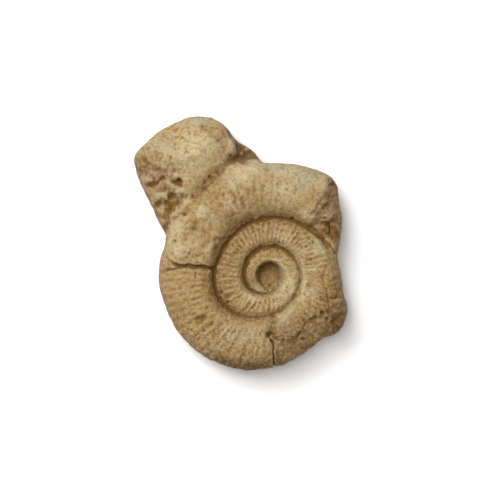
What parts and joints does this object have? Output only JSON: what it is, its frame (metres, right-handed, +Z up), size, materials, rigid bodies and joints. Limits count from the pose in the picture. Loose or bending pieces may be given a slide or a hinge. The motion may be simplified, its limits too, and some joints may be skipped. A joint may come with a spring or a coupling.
{
  "type": "ammonite fossil",
  "caption": "Coiled, ribbed ammonite mould in pale limestone, with a lump of its rock beside the coil, lying on a flat underside.",
  "frame": {"origin": "middle of the bounding box seen from above, on the table under the flat underside", "axes": "+Z up from the table, through the side that shows the coil; +Y along the length, towards the lump of rock; +X across, to the right of the coil as seen from above with the lump at the top"},
  "size_m": [0.0854, 0.1014, 0.0269],
  "materials": {
    "limestone": "matt, weathered, fine-grained"
  },
  "bodies": {
    "root": {"ammonite_fossil": "limestone"}
  },
  "joints": []
}
